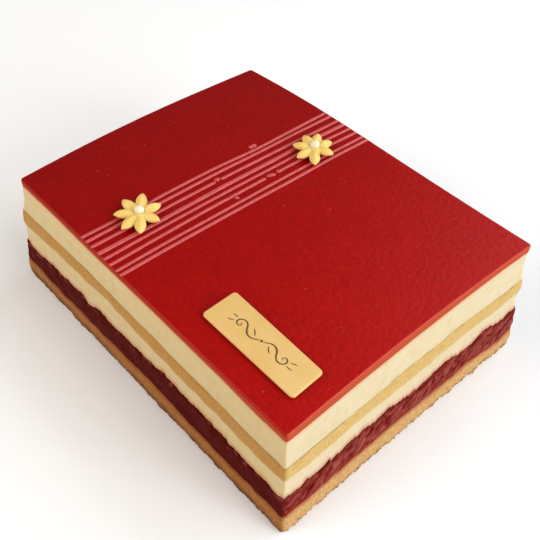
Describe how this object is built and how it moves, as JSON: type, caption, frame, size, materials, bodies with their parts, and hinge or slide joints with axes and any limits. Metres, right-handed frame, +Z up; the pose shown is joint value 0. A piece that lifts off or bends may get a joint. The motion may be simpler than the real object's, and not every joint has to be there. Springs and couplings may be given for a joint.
{
  "type": "layered mousse cake",
  "caption": "Rectangular layered mousse cake with berry compote, cream, sponge and a red glaze, with piped stripes, sugar flowers with pearls and a pale yellow plaque.",
  "frame": {"origin": "under the middle of the cake, at the level of its flat base", "axes": "+X along the long side, +Y across the cake along the piped stripes, away from the side that the left flower lies near, +Z up"},
  "size_m": [0.1618, 0.1262, 0.0556],
  "materials": {
    "baked_sponge": "porous golden baked sponge, browned at its lower edge",
    "berry_compote": "wet dark berry compote, streaked by the knife",
    "cream": "smooth ivory mousse cream with a soft sheen",
    "yellow_sponge": "fine yellow sponge, soaked",
    "berry_glaze": "satin set berry glaze with salmon piped stripes",
    "sugar_paste": "soft matt yellow sugar paste",
    "sugar_pearl": "polished white sugar pearl",
    "plaque_chocolate": "smooth pale yellow chocolate"
  },
  "bodies": {
    "root": {"base_sponge": "baked_sponge", "berry_compote": "berry_compote", "cream_lower": "cream", "sponge_middle": "yellow_sponge", "cream_upper": "cream", "glaze": "berry_glaze", "flower_left": "sugar_paste", "flower_right": "sugar_paste", "pearl_left": "sugar_pearl", "pearl_right": "sugar_pearl", "plaque": "plaque_chocolate"}
  },
  "joints": []
}
